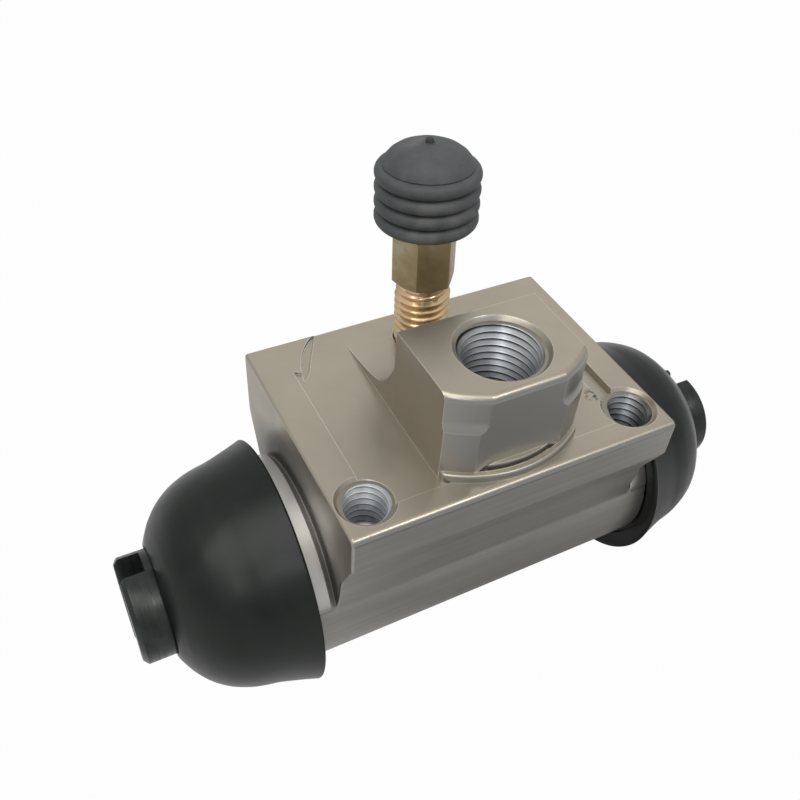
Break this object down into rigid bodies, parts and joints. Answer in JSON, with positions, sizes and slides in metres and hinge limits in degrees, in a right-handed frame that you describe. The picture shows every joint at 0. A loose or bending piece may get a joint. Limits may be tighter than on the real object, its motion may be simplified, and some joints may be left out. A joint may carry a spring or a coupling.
{
  "type": "wheel cylinder",
  "caption": "Drum-brake wheel cylinder: machined alloy body with threaded port boss, two opposed pistons under rubber dust boots, and a bleed screw with a ribbed rubber cap.",
  "frame": {"origin": "middle of the machined mounting face that bolts against the backing plate, on the bore's mid-plane", "axes": "+X along the bore, +Y from the port boss towards the bleed screw, +Z out of the mounting face, the way the port and the bleed screw point"},
  "size_m": [0.0858, 0.0345, 0.0638],
  "materials": {
    "body_alloy": "satin machined, faint tool marks, warm grey",
    "piston_steel": "dark grey-black phosphated, fine turning marks",
    "seal_rubber": "matt black",
    "spring_steel": "plain drawn wire and pressed sheet",
    "boot_rubber": "moulded black, semi-gloss",
    "bleed_screw_steel": "yellow passivated, bright on the thread",
    "cap_rubber": "matt blue-grey"
  },
  "bodies": {
    "body": {"cylinder_body": "body_alloy", "return_spring": "spring_steel", "left_boot": "boot_rubber", "right_boot": "boot_rubber"},
    "left_piston_set": {"left_piston": "piston_steel", "left_cup_seal": "seal_rubber", "left_cup_expander": "spring_steel"},
    "right_piston_set": {"right_piston": "piston_steel", "right_cup_seal": "seal_rubber", "right_cup_expander": "spring_steel"},
    "bleeder": {"bleed_screw": "bleed_screw_steel"},
    "cap": {"bleed_cap": "cap_rubber"}
  },
  "joints": [
    {"name": "left_piston_slide", "type": "slide", "parent": "body", "child": "left_piston_set", "axis": [-1, 0, 0], "range_m": [-0.003, 0.006], "deforming": ["left_boot", "return_spring"]},
    {"name": "right_piston_slide", "type": "slide", "parent": "body", "child": "right_piston_set", "axis": [1, 0, 0], "range_m": [-0.003, 0.006], "deforming": ["right_boot", "return_spring"]},
    {"name": "bleed_screw_turn", "type": "hinge", "parent": "body", "child": "bleeder", "pos_m": [0.0006, 0.01118, 0.00868], "axis": [0, 0.0698, 0.9976], "range_deg": [0, 360]},
    {"name": "bleed_cap_pull", "type": "slide", "parent": "bleeder", "child": "cap", "axis": [0, 0.0698, 0.9976], "range_m": [0, 0.014]}
  ]
}
